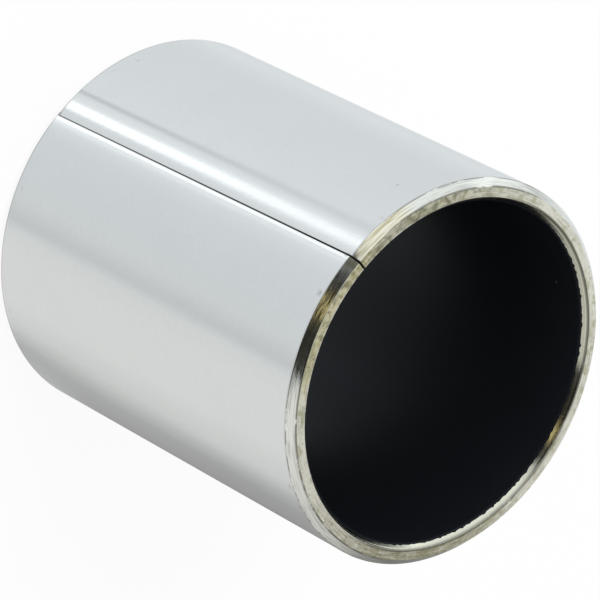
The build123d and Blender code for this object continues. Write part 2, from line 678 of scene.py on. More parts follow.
def metal_grain():
    """Uneven grain at two scales."""
    sizes = {"Coarse Scale": 300.0, "Fine Scale": 2500.0, "Fine Share": 0.4}
    tree, given = shader_group("Metal grain", sizes, ["Value"])
    coarse = noise(tree, given["Vector"], given["Coarse Scale"], 3.0)
    fine = noise(tree, given["Vector"], given["Fine Scale"], 3.0)
    return hand_out(tree, {"Value": mix_value(tree, given["Fine Share"], coarse, fine)})


def turning_marks():
    """Streaks of the turning tool, narrow across the wall and long round the axis."""
    tree, given = shader_group("Turning marks", {"Pitch": 0.06 * MM, "Streak": 3.0 * MM}, ["Value"])
    place = add_node(tree, "ShaderNodeSeparateXYZ", {"Vector": given["Vector"]}).outputs
    radius = group_outputs(tree, "Round the axis", {"Vector": given["Vector"]})["Radius"]
    stretched = add_node(
        tree,
        "ShaderNodeCombineXYZ",
        {
            "X": calc(tree, "DIVIDE", place["X"], given["Streak"]),
            "Y": calc(tree, "DIVIDE", place["Y"], given["Streak"]),
            "Z": calc(tree, "DIVIDE", radius, given["Pitch"]),
        },
    ).outputs["Vector"]
    return hand_out(tree, {"Value": noise(tree, stretched, 1.0, 2.0)})


def small_marks():
    """Sparse pits or nicks: 1 in their middle and 0 beside them."""
    tree, given = shader_group("Small marks", {"Scale": 1500.0, "Size": 0.3, "Share": 0.3}, ["Mask"])
    cell_inputs = {"Vector": given["Vector"], "Scale": given["Scale"]}
    cells = add_node(tree, "ShaderNodeTexVoronoi", cell_inputs).outputs
    red = add_node(tree, "ShaderNodeSeparateColor", {"Color": cells["Color"]}).outputs["Red"]
    chosen = calc(tree, "LESS_THAN", red, given["Share"])
    core = calc(tree, "MULTIPLY", given["Size"], 0.4)
    depth = spread(tree, cells["Distance"], given["Size"], core)
    return hand_out(tree, {"Mask": calc(tree, "MULTIPLY", chosen, depth)})


def edge_line():
    """Broken line along a turned edge: Cover is how much of the way round it is kept."""
    sizes = {"Edge": 16.0 * MM, "Half Width": 0.04 * MM, "Cover": 0.5}
    tree, given = shader_group("Edge line", sizes, ["Mask"])
    radius = group_outputs(tree, "Round the axis", {"Vector": given["Vector"]})["Radius"]
    away = calc(tree, "DIVIDE", calc(tree, "SUBTRACT", radius, given["Edge"]), given["Half Width"])
    near = calc(tree, "SUBTRACT", 1.0, calc(tree, "MULTIPLY", away, away), clamp=True)

    # Cover lowers the limit that the noise has to pass, from 0.72 for almost none of the line
    breaks = noise(tree, given["Vector"], 700.0, 3.0)
    limit = calc(tree, "MULTIPLY_ADD", given["Cover"], -0.45, 0.72)
    kept = spread(tree, breaks, limit, calc(tree, "ADD", limit, 0.1))
    return hand_out(tree, {"Mask": calc(tree, "MULTIPLY", near, kept)})


SHADER_GROUPS = {
    "Round the axis": round_axis,
    "Metal grain": metal_grain,
    "Turning marks": turning_marks,
    "Small marks": small_marks,
    "Edge line": edge_line,
}


def group_outputs(tree, name, inputs):
    """What a shader group gives for these inputs. The group is built when it is first used."""
    node = tree.nodes.new("ShaderNodeGroup")
    node.node_tree = bpy.data.node_groups.get(name) or SHADER_GROUPS[name]()
    for key, value in inputs.items():
        join(tree, value, node.inputs[key])
    return node.outputs


def grain_value(tree, place, coarse, fine, fine_share):
    """Metal grain at these two scales."""
    inputs = {"Vector": place, "Coarse Scale": coarse, "Fine Scale": fine, "Fine Share": fine_share}
    return group_outputs(tree, "Metal grain", inputs)["Value"]


def turning_streaks(tree, place, pitch, streak):
    """Streaks of the turning tool, this narrow and this long."""
    inputs = {"Vector": place, "Pitch": pitch, "Streak": streak}
    return group_outputs(tree, "Turning marks", inputs)["Value"]


def mark_mask(tree, place, scale, size, share):
    """Mask of small marks: how many there are in a metre, how large they are and how many are kept."""
    inputs = {"Vector": place, "Scale": scale, "Size": size, "Share": share}
    return group_outputs(tree, "Small marks", inputs)["Mask"]


def edge_mask(tree, place, edge, half_width, cover):
    """Mask of a broken line along the turned edge at this radius."""
    inputs = {"Vector": place, "Edge": edge, "Half Width": half_width, "Cover": cover}
    return group_outputs(tree, "Edge line", inputs)["Mask"]


def new_material(name):
    """An empty node material and its node tree."""
    material = bpy.data.materials.new(name)
    material.use_nodes = True
    tree = material.node_tree
    tree.nodes.clear()
    return material, tree


def spread(tree, value, low, high, to_low=0.0, to_high=1.0):
    """A value stretched from one range onto another, and kept inside it."""
    return add_node(
        tree,
        "ShaderNodeMapRange",
        {"Value": value, "From Min": low, "From Max": high, "To Min": to_low, "To Max": to_high},
    ).outputs["Result"]


def relief(tree, height, distance, below=None):
    """Normal of a surface raised by a height, on top of another relief."""
    inputs = {"Strength": 1.0, "Distance": distance, "Height": height}
    if below:
        inputs["Normal"] = below
    return add_node(tree, "ShaderNodeBump", inputs).outputs["Normal"]


def surface(tree, **inputs):
    """Gives a material its shader."""
    shader = add_node(tree, "ShaderNodeBsdfPrincipled", {k.replace("_", " "): v for k, v in inputs.items()})
    output = tree.nodes.new("ShaderNodeOutputMaterial")
    tree.links.new(shader.outputs["BSDF"], output.inputs["Surface"])


# Brightness of the flat ends by turn in degrees: they are unevenly tarnished, and the sheen of the brushed
# face is painted in as well
END_SHADE = [
    (-180, 0.83),
    (-140, 0.90),
    (-105, 1.00),
    (-88, 0.85),
    (-72, 0.62),
    (-42, 0.08),
    (-30, 0.32),
    (-18, 0.18),
    (0, 0.66),
    (16, 0.42),
    (32, 0.90),
    (54, 1.00),
    (72, 0.60),
    (88, 0.42),
    (98, 0.14),
    (125, 0.22),
    (150, 0.66),
    (170, 0.88),
]

# Brightness of the bronze's cut edge by turn in degrees
BRONZE_SHADE = [
    (-180, 0.55),
    (-150, 0.30),
    (-110, 0.20),
    (-60, 0.50),
    (95, 0.60),
    (112, 0.85),
    (150, 0.85),
    (170, 0.80),
]

# Strength of the line of painted shade between the flat end and the inner chamfer, by turn in degrees
INNER_LINE = [
    (-180, 0.70),
    (-168, 0.94),
    (-92, 0.94),
    (-78, 0.10),
    (80, 0.06),
    (96, 0.80),
    (170, 0.75),
]

# Stretches round the axis that look different: first turn, last turn and softness, in degrees
UPPER_FRONT = (-88.0, -30.0, 6.0)
LOWER_FRONT = (8.0, 100.0, 6.0)
SCRATCHED = (-6.0, 3.0, 1.0)
TANNED = (-22.0, 24.0, 6.0)
MOTTLED = (-66.0, 12.0, 10.0)
# Where the painted highlight along the flat end's inner edge shows
INNER_EDGE_GLINT = (-40.0, 44.0, 8.0)

# Tan on the chamfer before the joint: where it starts and how softly, in degrees
TAN_START = -38.0
TAN_SOFTNESS = 4.0

# Painted dark reflection on the chamfer, in degrees past the joint: where it starts, where it thins and where
# it ends
DARK_REFLECTION_START = -0.7
DARK_REFLECTION_THINS = 1.5
DARK_REFLECTION_END = 7.0

# Colours of the marks
DARK_TAN = (0.58, 0.52, 0.34)
PALE_TAN = (0.90, 0.86, 0.72)
SCRATCH = (0.14, 0.11, 0.05)
BLOTCH = (0.42, 0.41, 0.24)
TAN_TINT = (1.0, 0.97, 0.78)
DARK_SPOT = (0.17, 0.16, 0.11)
PALE_SPOT = (0.72, 0.69, 0.52)
# Painted highlight along the flat end's inner edge
GLINT_COLOUR = (0.95, 0.94, 0.87)
BLUE_TINT = (0.82, 0.95, 1.12, 1.0)

# Range that the grain mostly keeps to
GRAIN_RANGE = (0.3, 0.7)


def turn_share(tree, turn):
    """Turn in degrees as a share of the whole way round, from -180 to 180."""
    return calc(tree, "DIVIDE", calc(tree, "ADD", turn, 180.0), 360.0)


def ramp_by_turn(tree, turn, stops, top=1.0):
    """A value read from a list of stops round the axis."""
    ramp = tree.nodes.new("ShaderNodeValToRGB")
    tree.links.new(turn_share(tree, turn), ramp.inputs["Fac"])
    elements = ramp.color_ramp.elements
    elements.remove(elements[1])
    for i, (at, level) in enumerate(stops):
        share = (at + 180) / 360
        element = elements[0] if i == 0 else elements.new(share)
        element.position = share
        element.color = (level / top,) * 3 + (1.0,)
    return calc(tree, "MULTIPLY", ramp.outputs["Color"], top)


def from_joint(tree, place, turn):
    """Distance along the wall from the joint's middle line."""
    sizes = bpy.context.scene.bushing_sizes
    height = add_node(tree, "ShaderNodeSeparateXYZ", {"Vector": place}).outputs["Z"]
    level = calc(tree, "DIVIDE", height, WALL.length)
    middle = calc(tree, "MULTIPLY", calc(tree, "SUBTRACT", 0.5, level), sizes.joint_drift)
    away = calc(tree, "SUBTRACT", turn, math.degrees(sizes.joint_turn))
    along = calc(tree, "MULTIPLY", away, WALL.outer * math.radians(1.0))
    return calc(tree, "SUBTRACT", along, middle)


def plated_skin(finish):
    """Bright tin plating: nearly a mirror, slightly wavy, and coarser on the rolled edge."""
    sizes = bpy.context.scene.bushing_sizes
    material, tree = new_material("plated_skin")
    place = object_place(tree)
    turn = group_outputs(tree, "Round the axis", {"Vector": place})["Turn"]
    grain = grain_value(tree, place, coarse=180.0, fine=3200.0, fine_share=0.6)
    beside = from_joint(tree, place, turn)
    rolled = window(tree, beside, -sizes.lip_width - 0.1 * MM, 0.5 * MM, 0.15 * MM)
    height = add_node(tree, "ShaderNodeSeparateXYZ", {"Vector": place}).outputs["Z"]
    from_top = calc(tree, "SUBTRACT", WALL.length, height)
    from_end = calc(tree, "MINIMUM", height, from_top)

    # Waves, and a grain that is coarser on the rolled edge, above all near its upper end
    waves = noise(tree, place, 130.0, 1.0)
    coarser = calc(tree, "MULTIPLY", rolled, spread(tree, height, 0.0, WALL.length, 2.0, 7.0))
    coarse = calc(tree, "MULTIPLY", grain, calc(tree, "ADD", coarser, 1.0))
    normal = relief(tree, coarse, 0.0010 * MM, relief(tree, waves, 0.010 * MM))

    # Small dull specks, burrs along the joint, and a line of painted shade with nicks along the turned edges
    specks = mark_mask(tree, place, scale=420.0, size=0.10, share=0.10)
    nicks = mark_mask(tree, place, scale=800.0, size=0.30, share=0.16)
    ragged = calc(tree, "MULTIPLY_ADD", spread(tree, grain, *GRAIN_RANGE), 0.08 * MM, 0.03 * MM)
    ragged = calc(tree, "MULTIPLY", ragged, spread(tree, height, 0.0, WALL.length, 0.3, 1.0))
    burr = calc(tree, "LESS_THAN", calc(tree, "ABSOLUTE", beside), ragged)
    edge = WALL.outer_chamfer
    near_edge = spread(tree, from_end, edge + 0.9 * MM, edge + 0.3 * MM, 0.0, 0.5)
    edge_shade_mask = spread(tree, from_end, edge + 0.16 * MM, edge + 0.06 * MM, 0.0, 0.3)
    marks = calc(tree, "MAXIMUM", calc(tree, "MULTIPLY", specks, 0.2), calc(tree, "MULTIPLY", burr, 0.4))
    edge_shade_and_nicks = calc(tree, "MAXIMUM", edge_shade_mask, calc(tree, "MULTIPLY", nicks, near_edge))
    marks = calc(tree, "MAXIMUM", marks, edge_shade_and_nicks)
    bright = tuple(finish.plating)
    base = mix_colour(tree, spread(tree, grain, *GRAIN_RANGE), scaled(bright, 0.965), bright)
    base = mix_colour(tree, marks, base, scaled(bright, 0.25))

    # The rolled edge is smooth near its lower end and dull near its upper one
    dullness = spread(tree, height, 0.1 * WALL.length, WALL.length, -0.05, 0.08)
    dulled = calc(tree, "MULTIPLY", rolled, dullness)
    gloss = calc(tree, "ADD", dulled, spread(tree, grain, *GRAIN_RANGE, 0.13, 0.09))
    surface(tree, Base_Color=base, Metallic=1.0, Roughness=gloss, Normal=normal)
    return material


def turned_steel(finish):
    """Chamfer left by the turning tool, brushed round the axis, with broken lines of painted shade at its
    edges and a painted dark reflection past the joint.
    """
    material, tree = new_material("turned_chamfer")
    place = object_place(tree)
    axis = group_outputs(tree, "Round the axis", {"Vector": place})
    turn = axis["Turn"]
    streaks = turning_streaks(tree, place, pitch=0.075 * MM, streak=2.4 * MM)
    grain = grain_value(tree, place, coarse=500.0, fine=3000.0, fine_share=0.5)
    normal = relief(tree, grain, 0.003 * MM, relief(tree, streaks, 0.013 * MM))
    bright = tuple(finish.turned)
    base = mix_colour(tree, spread(tree, streaks, 0.34, 0.52), scaled(bright, 0.72), bright)

    # The steel is tanned in streaks before the joint, and past it a painted dark reflection darkens it
    joint = math.degrees(bpy.context.scene.bushing_sizes.joint_turn)
    tan = mix_colour(tree, spread(tree, streaks, 0.38, 0.56), DARK_TAN, PALE_TAN)
    base = mix_colour(tree, window(tree, turn, TAN_START, joint, TAN_SOFTNESS), base, tan)
    past_joint = calc(tree, "GREATER_THAN", turn, joint + DARK_REFLECTION_START)
    painted_dark_reflection = spread(tree, turn, joint + DARK_REFLECTION_THINS, joint + DARK_REFLECTION_END, 0.9, 0.0)
    base = mix_colour(tree, calc(tree, "MULTIPLY", past_joint, painted_dark_reflection), base, tuple(finish.pit_dark_and_painted_shade))

    # Fine dark scratches where the chamfer is golden, and a bronze cast on the inner chamfer
    between = spread(tree, streaks, 0.50, 0.43, 0.0, 0.8)
    scratches = calc(tree, "MULTIPLY", between, window(tree, turn, *SCRATCHED))
    base = mix_colour(tree, scratches, base, SCRATCH)
    inside = calc(tree, "LESS_THAN", axis["Radius"], WALL.face_inner)
    cast = calc(tree, "MULTIPLY", inside, 0.9)
    base = mix_colour(tree, cast, base, scaled(finish.bronze, 0.78))
    # Painted shade along the turned edges
    lines = edge_shade_lines(tree, place, turn)
    base = mix_colour(tree, lines, base, tuple(finish.pit_dark_and_painted_shade))
    gloss = spread(tree, grain, *GRAIN_RANGE, 0.20, 0.11)
    surface(tree, Base_Color=base, Metallic=1.0, Roughness=gloss, Normal=normal)
    return material


def edge_shade_lines(tree, place, turn):
    """Lines of painted shade along the turned edges, each kept on the stretch where it shows."""
    inner_edge = WALL.face_inner + 0.04 * MM
    inner_line = edge_mask(tree, place, inner_edge, half_width=0.17 * MM, cover=0.97)
    inner_line = calc(tree, "MULTIPLY", inner_line, ramp_by_turn(tree, turn, INNER_LINE))
    outer_line = edge_mask(tree, place, WALL.face_outer, half_width=0.09 * MM, cover=0.76)
    body_line = edge_mask(tree, place, WALL.outer, half_width=0.07 * MM, cover=0.62)
    upper = window(tree, turn, *UPPER_FRONT)
    lower = window(tree, turn, *LOWER_FRONT)
    front = calc(tree, "MULTIPLY", calc(tree, "ADD", upper, lower, clamp=True), 0.85)
    front_lines = calc(tree, "MULTIPLY", calc(tree, "MAXIMUM", outer_line, body_line), front)
    return calc(tree, "MAXIMUM", inner_line, front_lines)


def cut_end(finish):
    """Flat end, cut square, smeared and unevenly tarnished, with a painted sheen by turn and a painted
    highlight along its inner edge.
    """
    material, tree = new_material("cut_end")
    place = object_place(tree)
    axis = group_outputs(tree, "Round the axis", {"Vector": place})
    turn = axis["Turn"]
    grain = grain_value(tree, place, coarse=420.0, fine=2600.0, fine_share=0.5)
    streaks = turning_streaks(tree, place, pitch=0.11 * MM, streak=1.6 * MM)
    pits = mark_mask(tree, place, scale=2600.0, size=0.28, share=0.10)
    blotches = noise(tree, place, 800.0, 4.0)
    normal = relief(tree, grain, 0.004 * MM, relief(tree, streaks, 0.004 * MM))
    normal = relief(tree, calc(tree, "SUBTRACT", 1.0, pits), 0.006 * MM, normal)

    # Tarnished patches and a painted sheen by turn, broken up by the grain and by the tool's marks
    shade = ramp_by_turn(tree, turn, END_SHADE)
    uneven = calc(tree, "MULTIPLY", calc(tree, "SUBTRACT", grain, 0.5), 1.5)
    brushed = calc(tree, "MULTIPLY", calc(tree, "SUBTRACT", streaks, 0.5), 1.7)
    shade = calc(tree, "ADD", shade, calc(tree, "ADD", uneven, brushed), clamp=True)
    base = mix_colour(tree, shade, tuple(finish.tarnish_and_painted_shade), tuple(finish.end_face))
    base = mix_colour(tree, spread(tree, blotches, 0.54, 0.62, 0.0, 0.55), base, BLOTCH)

    # Tanned past the joint, and mottled on both sides of it
    base = mix_colour(tree, window(tree, turn, *TANNED), base, TAN_TINT, "MULTIPLY")
    mottle = noise(tree, place, 1700.0, 4.0)
    beside = window(tree, turn, *MOTTLED)
    dark_spots = calc(tree, "MULTIPLY", spread(tree, mottle, 0.52, 0.62, 0.0, 0.6), beside)
    pale_spots = calc(tree, "MULTIPLY", spread(tree, mottle, 0.47, 0.38, 0.0, 0.6), beside)
    base = mix_colour(tree, dark_spots, base, DARK_SPOT)
    base = mix_colour(tree, pale_spots, base, PALE_SPOT)

    # A painted highlight along the inner edge on the front side, for the sheen of a slim bevel; dark in the
    # pits, and painted shade along the edges
    rim_start, rim_end = WALL.face_inner + 0.05 * MM, WALL.face_inner + 0.09 * MM
    inner_rim = spread(tree, axis["Radius"], rim_end, rim_start)
    painted_glint = calc(tree, "MULTIPLY", inner_rim, window(tree, turn, *INNER_EDGE_GLINT))
    painted_glint = calc(tree, "MULTIPLY", painted_glint, spread(tree, mottle, 0.60, 0.46))
    base = mix_colour(tree, painted_glint, base, GLINT_COLOUR)
    pit_dark_and_edge_shade = calc(tree, "MAXIMUM", calc(tree, "MULTIPLY", pits, 0.6), edge_shade_lines(tree, place, turn))
    base = mix_colour(tree, pit_dark_and_edge_shade, base, tuple(finish.pit_dark_and_painted_shade))
    gloss = spread(tree, grain, *GRAIN_RANGE, 0.42, 0.28)
    surface(tree, Base_Color=base, Metallic=1.0, Roughness=gloss, Normal=normal)
    return material


def bronze_edge(finish):
    """Sintered bronze where the chamfer cuts it, duller on one side."""
    material, tree = new_material("bronze_edge")
    place = object_place(tree)
    turn = group_outputs(tree, "Round the axis", {"Vector": place})["Turn"]
    grain = grain_value(tree, place, coarse=700.0, fine=3500.0, fine_share=0.5)
    streaks = turning_streaks(tree, place, pitch=0.08 * MM, streak=1.5 * MM)
    normal = relief(tree, grain, 0.0012 * MM, relief(tree, streaks, 0.0015 * MM))
    shade = ramp_by_turn(tree, turn, BRONZE_SHADE)
    uneven = calc(tree, "MULTIPLY", calc(tree, "SUBTRACT", grain, 0.5), 0.8)
    shade = calc(tree, "ADD", shade, uneven, clamp=True)
    base = mix_colour(tree, shade, scaled(finish.bronze, 0.52), tuple(finish.bronze))

    # Darkened nearly to black, most of all on the left and on the right
    from_front = calc(tree, "MULTIPLY_ADD", grain, 8.0, calc(tree, "ABSOLUTE", turn))
    blackened = spread(tree, from_front, 50.0, 84.0, 0.05, 0.75)
    blackened = calc(tree, "MULTIPLY", blackened, spread(tree, from_front, 106.0, 118.0, 1.0, 0.0))
    base = mix_colour(tree, blackened, base, tuple(finish.lining))
    gloss = spread(tree, grain, *GRAIN_RANGE, 0.20, 0.12)
    surface(tree, Base_Color=base, Metallic=1.0, Roughness=gloss, Normal=normal)
    return material


def black_layer(finish):
    """Dry matt sliding layer."""
    material, tree = new_material("black_sliding_layer")
    place = object_place(tree)
    grain = grain_value(tree, place, coarse=200.0, fine=5000.0, fine_share=0.5)
    base = mix_colour(tree, grain, scaled(finish.lining, 0.7), scaled(finish.lining, 1.3))
    specks = mark_mask(tree, place, scale=260.0, size=0.05, share=0.4)
    base = mix_colour(tree, specks, base, scaled(finish.lining, 6.0))
    surface(
        tree,
        Base_Color=base,
        Roughness=0.42,
        Specular_IOR_Level=0.125,
        Specular_Tint=BLUE_TINT,
        Normal=relief(tree, grain, 0.004 * MM),
    )
    return material


# Pieces


class BUSHING_OT_steel_shell(bpy.types.Operator):
    """Bends the plated steel backing round, with its joint, rolled edge and chamfers"""

    bl_idname = "bushing.steel_shell"
    bl_label = "Steel shell"

    def execute(self, context):
        sizes, finish = context.scene.bushing_sizes, context.scene.bushing_finish
        corners = layer_corners(WALL.steel_inner, WALL.outer, sizes)
        section = section_mesh("steel section", section_loop(corners, steps=5, row_height=2.5 * MM))
        materials = (plated_skin(finish), turned_steel(finish), cut_end(finish))
        shell = wrapped_piece("steel_shell", section, wrap_settings(sizes, materials))
        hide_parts("steel_backing")
        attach(shell, "root")
        return {"FINISHED"}


class BUSHING_OT_bronze_layer(bpy.types.Operator):
    """Bends the bronze layer round inside the steel"""

    bl_idname = "bushing.bronze_layer"
    bl_label = "Bronze layer"

    def execute(self, context):
        sizes, finish = context.scene.bushing_sizes, context.scene.bushing_finish
        corners = layer_corners(WALL.bronze_inner, WALL.bronze_outer, sizes)
        section = section_mesh("bronze section", section_loop(corners, steps=2, row_height=8 * MM))
        bronze = bronze_edge(finish)
        layer = wrapped_piece("bronze_layer", section, wrap_settings(sizes, (bronze, bronze, bronze)))
        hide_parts("bronze_interlayer")
        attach(layer, "root")
        return {"FINISHED"}


def liner_section(sizes):
    """Section of the lining, whose ends run over the inner chamfers as thin tongues."""
    skin = WALL.lining_outer - WALL.bore
    shares = [0.2, 0.4, 0.6, 0.8, 1.0]
    top = WALL.length - WALL.end_drop(WALL.bore)
    bottom = WALL.end_drop(WALL.bore)
    upper_foot = (WALL.lining_outer, WALL.length - WALL.end_drop(WALL.lining_outer))
    lower_foot = (WALL.lining_outer, WALL.end_drop(WALL.lining_outer))

    # The tongues' outer side lies square off the chamfer
    chamfer = Vector((WALL.face_inner - WALL.bore, WALL.inner_chamfer)).normalized()
    lift_in, lift_up = 0.4 * skin * chamfer.y, 0.4 * skin * chamfer.x
    points = [(*lower_foot, 0.0), (*upper_foot, 0.0)]
    points += [(*upper_foot, share) for share in shares]
    points += [(upper_foot[0] - lift_in, upper_foot[1] + lift_up, share) for share in reversed(shares)]
    points += [(WALL.bore, top, 0.0), (WALL.bore, bottom, 0.0)]
    points += [(lower_foot[0] - lift_in, lower_foot[1] - lift_up, -share) for share in shares]
    points += [(*lower_foot, -share) for share in reversed(shares)]
    mesh = section_mesh("lining section", [Vector((r, z)) for r, z, share in points])
    fill_attribute(mesh, "tongue", "FLOAT", "value", [share for r, z, share in points])
    return mesh


class BUSHING_OT_black_liner(bpy.types.Operator):
    """Bends the black sliding layer round inside the bronze, with its torn edges"""

    bl_idname = "bushing.black_liner"
    bl_label = "Black liner"

    def execute(self, context):
        sizes, finish = context.scene.bushing_sizes, context.scene.bushing_finish
        lining = black_layer(finish)
        settings = wrap_settings(sizes, (lining, lining, lining))
        settings["Segments"] = 2 * sizes.segments
        settings["Edge Radius"] = 0.2 * (WALL.lining_outer - WALL.bore)
        settings["Torn Height"] = sizes.torn_height
        settings["Tooth Height"] = sizes.tooth_height
        settings["Teeth"] = sizes.tooth_count
        settings["Chamfer Slope"] = WALL.inner_chamfer / (WALL.face_inner - WALL.bore)
        settings["Seed"] = TOOTH_SEED
        liner = wrapped_piece("black_liner", liner_section(sizes), settings)
        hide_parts("sliding_lining")
        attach(liner, "root")
        return {"FINISHED"}


# Studio


# View of the camera: its height above the horizon, its roll, its distance and the point that it looks at
CAMERA_ELEVATION = math.radians(44.3)
CAMERA_ROLL = math.radians(117.35)
CAMERA_DISTANCE = 412.8 * MM
AIM_RIGHT = 0.371 * MM
AIM_UP = -0.352 * MM
LENS = 289.9
SENSOR = 36.0

# Elevation at which the chamfers facing the camera see the tent, in degrees
CARD_MIDDLE = 40.5

# Dark card round the camera and the warm slit in it: first and last degree, and softness
CARD_RIGHT = (-60.0, 44.0, 1.5)
CARD_LEFT = (-25.0, 60.0, 1.5)
CARD_HEIGHT = (14.0, 72.0, 4.0)
CARD_LEAN = 0.9
SLIT_TURNS = (-7.4, 4.2, 1.0)
SLIT_HEIGHT = (CARD_MIDDLE - 3.0, CARD_MIDDLE + 3.0, 1.0)
CARD_COLOUR = (0.025, 0.025, 0.020)
SLIT_COLOUR = (0.86, 0.74, 0.36)

# Tint of the tent on the left and on the right
LEFT_TINT = (0.955, 1.0, 1.02)
RIGHT_TINT = (0.99, 1.0, 0.985)

# Sizes of the studio
TENT_RADIUS = 0.6
FLOOR_SIZE = 4.0
FLOOR_DROP = 0.02 * MM

# Share of white that the camera sees on the floor, and the level of the light on matt surfaces
FLOOR_WHITE = 0.9
MATT_LEVEL = 0.75

# Soft lamp over the bushing
LAMP_PLACE = (-0.25, -0.2, 0.45)
LAMP_SIZE = 0.3
LAMP_POWER = 1.2

# Brightness of the lower part of the tent, by turn in degrees
TENT_BANDS = [
    (-180, 0.38),
    (-176, 0.40),
    (-171, 0.83),
    (-160, 0.77),
    (-144, 0.84),
    (-120, 0.82),
    (-80, 0.85),
    (-54, 0.885),
    (-52, 0.67),
    (-50, 0.67),
    (-48, 0.88),
    (-40, 0.97),
    (-37.8, 1.38),
    (-31.4, 1.38),
    (-29, 0.87),
    (-16, 0.805),
    (0, 0.787),
    (24, 0.77),
    (36, 0.67),
    (42, 0.80),
    (56, 0.83),
    (88, 0.82),
    (104, 0.74),
    (120, 0.56),
    (128, 0.47),
    (144, 0.42),
    (160, 0.36),
    (180, 0.38),
]

# Brightness of the upper part of the tent, by turn in degrees
SKY_BANDS = [
    (-180, 0.80),
    (-172, 0.82),
    (-160, 0.96),
    (-150, 0.92),
    (-142, 0.80),
    (-136, 0.69),
    (-125, 1.05),
    (-110, 1.16),
    (-98, 0.94),
    (-54, 0.97),
    (-38, 0.98),
    (-33, 0.80),
    (33, 0.75),
    (45, 0.80),
    (71, 0.84),
    (86, 0.77),
    (105, 0.70),
    (118, 0.66),
    (128, 0.56),
    (138, 0.38),
    (152, 0.20),
    (164, 0.22),
    (172, 0.80),
    (180, 0.80),
]

# Brightness that a band can't pass
BAND_TOP = 1.5

# Elevations between which the lower bands give way to the upper ones, in degrees
LOWER_TOP = -32.0
UPPER_START = -14.0

# Elevation at which the wall at its upper end, its middle and its lower end sees the tent, in degrees
NEAR_SIGHT = -41.1
MIDDLE_SIGHT = -44.0
FAR_SIGHT = -47.3

# Elevations where the near fade ends and the far part starts, in degrees
NEAR_FADE_END = -45.2
FAR_PART_START = -45.0

# Bands that slant on the right, and bands that slant back by the joint: first turn, last turn and softness
SLANTED = (108.0, 200.0, 14.0)
SLANTED_BACK = (-56.0, -20.0, 5.0)


def tent_material():
    """Light of the tent by turn and elevation, with a dark card and a warm slit round the camera."""
    material, tree = new_material("tent_light")
    spot = object_place(tree)
    place = add_node(tree, "ShaderNodeSeparateXYZ", {"Vector": spot}).outputs
    axis = group_outputs(tree, "Round the axis", {"Vector": spot})
    turn = axis["Turn"]
    elevation = calc(tree, "DEGREES", calc(tree, "ARCTAN2", place["Z"], axis["Radius"]))

    # On the right the bands slant, waver and fade towards the lower end, and by the joint they slant back
    to_far = spread(tree, elevation, MIDDLE_SIGHT, FAR_SIGHT)
    right = window(tree, turn, *SLANTED)
    by_joint = window(tree, turn, *SLANTED_BACK)
    waver = noise(tree, spot, 22.0, 2.0)
    slant = calc(tree, "MULTIPLY_ADD", to_far, 12.0, calc(tree, "MULTIPLY_ADD", waver, 12.0, -12.0))
    slant_back = calc(tree, "MULTIPLY", spread(tree, elevation, NEAR_SIGHT, FAR_SIGHT, 0.0, -3.5), by_joint)
    slanted = calc(tree, "ADD", turn, calc(tree, "MULTIPLY_ADD", slant, right, slant_back))
    low = ramp_by_turn(tree, calc(tree, "MINIMUM", slanted, 180.0), TENT_BANDS, BAND_TOP)
    near_fade = spread(tree, elevation, NEAR_SIGHT, NEAR_FADE_END, -0.13, 0.0)
    near_fade = calc(tree, "MULTIPLY", near_fade, spread(tree, turn, 110.0, 126.0))
    far_part = spread(tree, elevation, FAR_PART_START, FAR_SIGHT)
    far_part = calc(tree, "MULTIPLY", far_part, spread(tree, turn, 122.0, 170.0))
    fade = calc(tree, "ADD", far_part, near_fade)
    low = calc(tree, "MULTIPLY", low, calc(tree, "ADD", fade, 1.0))
    high = ramp_by_turn(tree, turn, SKY_BANDS, BAND_TOP)
    level = mix_value(tree, spread(tree, elevation, LOWER_TOP, UPPER_START), low, high)
    warmth = calc(tree, "SUBTRACT", spread(tree, turn, 10.0, 60.0), far_part, clamp=True)
    tint = mix_colour(tree, warmth, LEFT_TINT, RIGHT_TINT)
    colour = mix_colour(tree, 1.0, tint, level, "MULTIPLY")

    # The card's right edge leans, so that the brushed chamfer breaks it up
    lean = calc(tree, "MULTIPLY_ADD", elevation, -CARD_LEAN, CARD_LEAN * CARD_MIDDLE)
    card_right = window(tree, calc(tree, "ADD", turn, lean), *CARD_RIGHT)
    card_left = window(tree, turn, *CARD_LEFT)
    card = calc(tree, "MULTIPLY", card_left, card_right)
    card = calc(tree, "MULTIPLY", card, window(tree, elevation, *CARD_HEIGHT))
    slit = window(tree, turn, *SLIT_TURNS)
    slit = calc(tree, "MULTIPLY", slit, window(tree, elevation, *SLIT_HEIGHT))
    colour = mix_colour(tree, card, colour, CARD_COLOUR)
    colour = mix_colour(tree, slit, colour, SLIT_COLOUR)
    light = add_node(tree, "ShaderNodeEmission", {"Color": colour, "Strength": 1.0})
    output = tree.nodes.new("ShaderNodeOutputMaterial")
    tree.links.new(light.outputs["Emission"], output.inputs["Surface"])
    return material


def add_tent():
    """Round tent that only gloss sees."""
    bpy.ops.mesh.primitive_uv_sphere_add(segments=96, ring_count=48, radius=TENT_RADIUS, location=(0, 0, 0))
    tent = bpy.context.object
    tent.name = "light_tent"
    tent.data.materials.append(tent_material())
    tent.visible_camera = False
    tent.visible_diffuse = False
    tent.visible_transmission = False
    tent.visible_volume_scatter = False
    tent.visible_shadow = False


